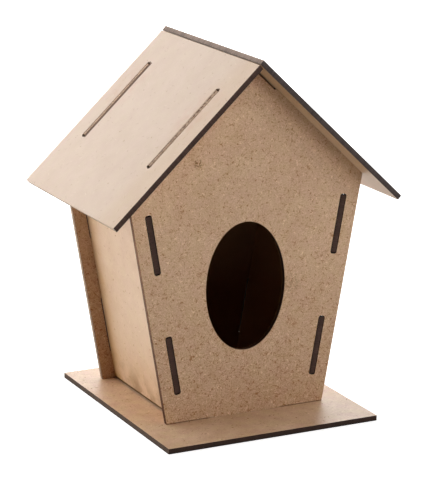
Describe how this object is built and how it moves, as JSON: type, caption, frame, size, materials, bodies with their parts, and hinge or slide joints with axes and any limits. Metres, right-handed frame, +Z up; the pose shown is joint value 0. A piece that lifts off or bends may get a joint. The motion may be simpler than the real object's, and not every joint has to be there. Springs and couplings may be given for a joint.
{
  "type": "nest box",
  "caption": "Pitched-roof nest box of slotted-together fibreboard panels, with leaning side walls, an oval entrance and a wide base board.",
  "frame": {"origin": "centre of the base board's underside", "axes": "+Z up, -Y out of the entrance, +X to the right when facing the entrance"},
  "size_m": [0.1746, 0.143, 0.2045],
  "materials": {
    "base_board": "raw fibreboard, smooth pale face, dark laser-burnt edges",
    "wall_board": "raw fibreboard, mid brown speckled face, dark laser-burnt edges",
    "side_board": "raw fibreboard, smooth tan face, dark laser-burnt edges",
    "roof_board": "raw fibreboard, smooth pale face, dark laser-burnt edges"
  },
  "bodies": {
    "root": {"base": "base_board", "front_wall": "wall_board", "back_wall": "wall_board", "left_side_wall": "side_board", "right_side_wall": "side_board", "left_roof_panel": "roof_board", "right_roof_panel": "roof_board"}
  },
  "joints": []
}
